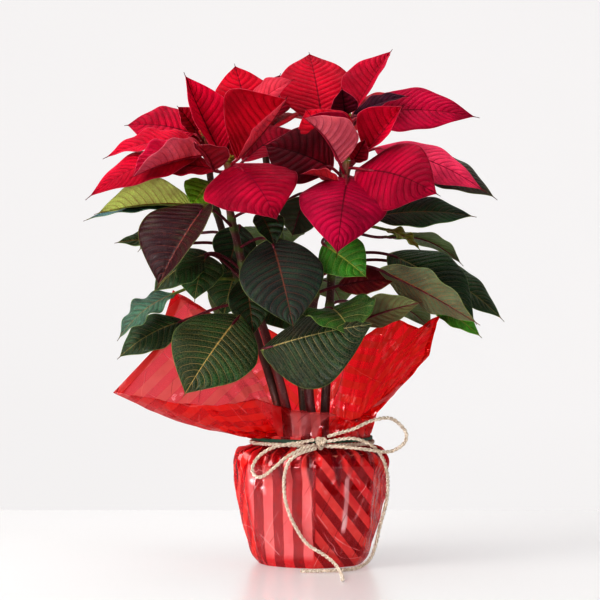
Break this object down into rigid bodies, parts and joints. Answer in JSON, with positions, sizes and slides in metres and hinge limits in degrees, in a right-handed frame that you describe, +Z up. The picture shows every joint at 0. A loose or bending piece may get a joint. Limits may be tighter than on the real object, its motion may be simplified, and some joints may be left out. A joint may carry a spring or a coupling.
{
  "type": "poinsettia in a wrapped pot",
  "caption": "Potted poinsettia with red bracts over dark green leaves, its pot wrapped in red film and tied with twine.",
  "frame": {"origin": "middle of the wrapped pot's foot, on the surface it stands on", "axes": "+Z up, +Y to the back as seen in the picture, +X to the right"},
  "size_m": [0.3407, 0.2624, 0.4204],
  "materials": {
    "pot": "matt moulded",
    "soil": "loose peat",
    "film": "clear and opaque stripes, creased",
    "twine": "twisted jute",
    "band": "matt",
    "leaf": "waxy, veined",
    "bract": "velvety, veined",
    "bud": "smooth"
  },
  "bodies": {
    "root": {"pot": "pot", "soil": "soil", "wrap": "film", "twine_ring": "twine", "twine_knot": "twine", "twine_loop_left": "twine", "twine_loop_right": "twine", "twine_tail_left": "twine", "twine_tail_right": "twine", "band": "band", "leafy_stem_left": "leaf", "leafy_stem_right": "leaf", "leafy_stem_top": "leaf", "leafy_stem_far_left": "leaf", "leafy_stem_back": "leaf", "bracts_left": "bract", "bracts_right": "bract", "bracts_top": "bract", "bracts_far_left": "bract", "bracts_back": "bract", "buds_left": "bud", "buds_right": "bud", "buds_top": "bud", "buds_far_left": "bud", "buds_back": "bud"}
  },
  "joints": []
}
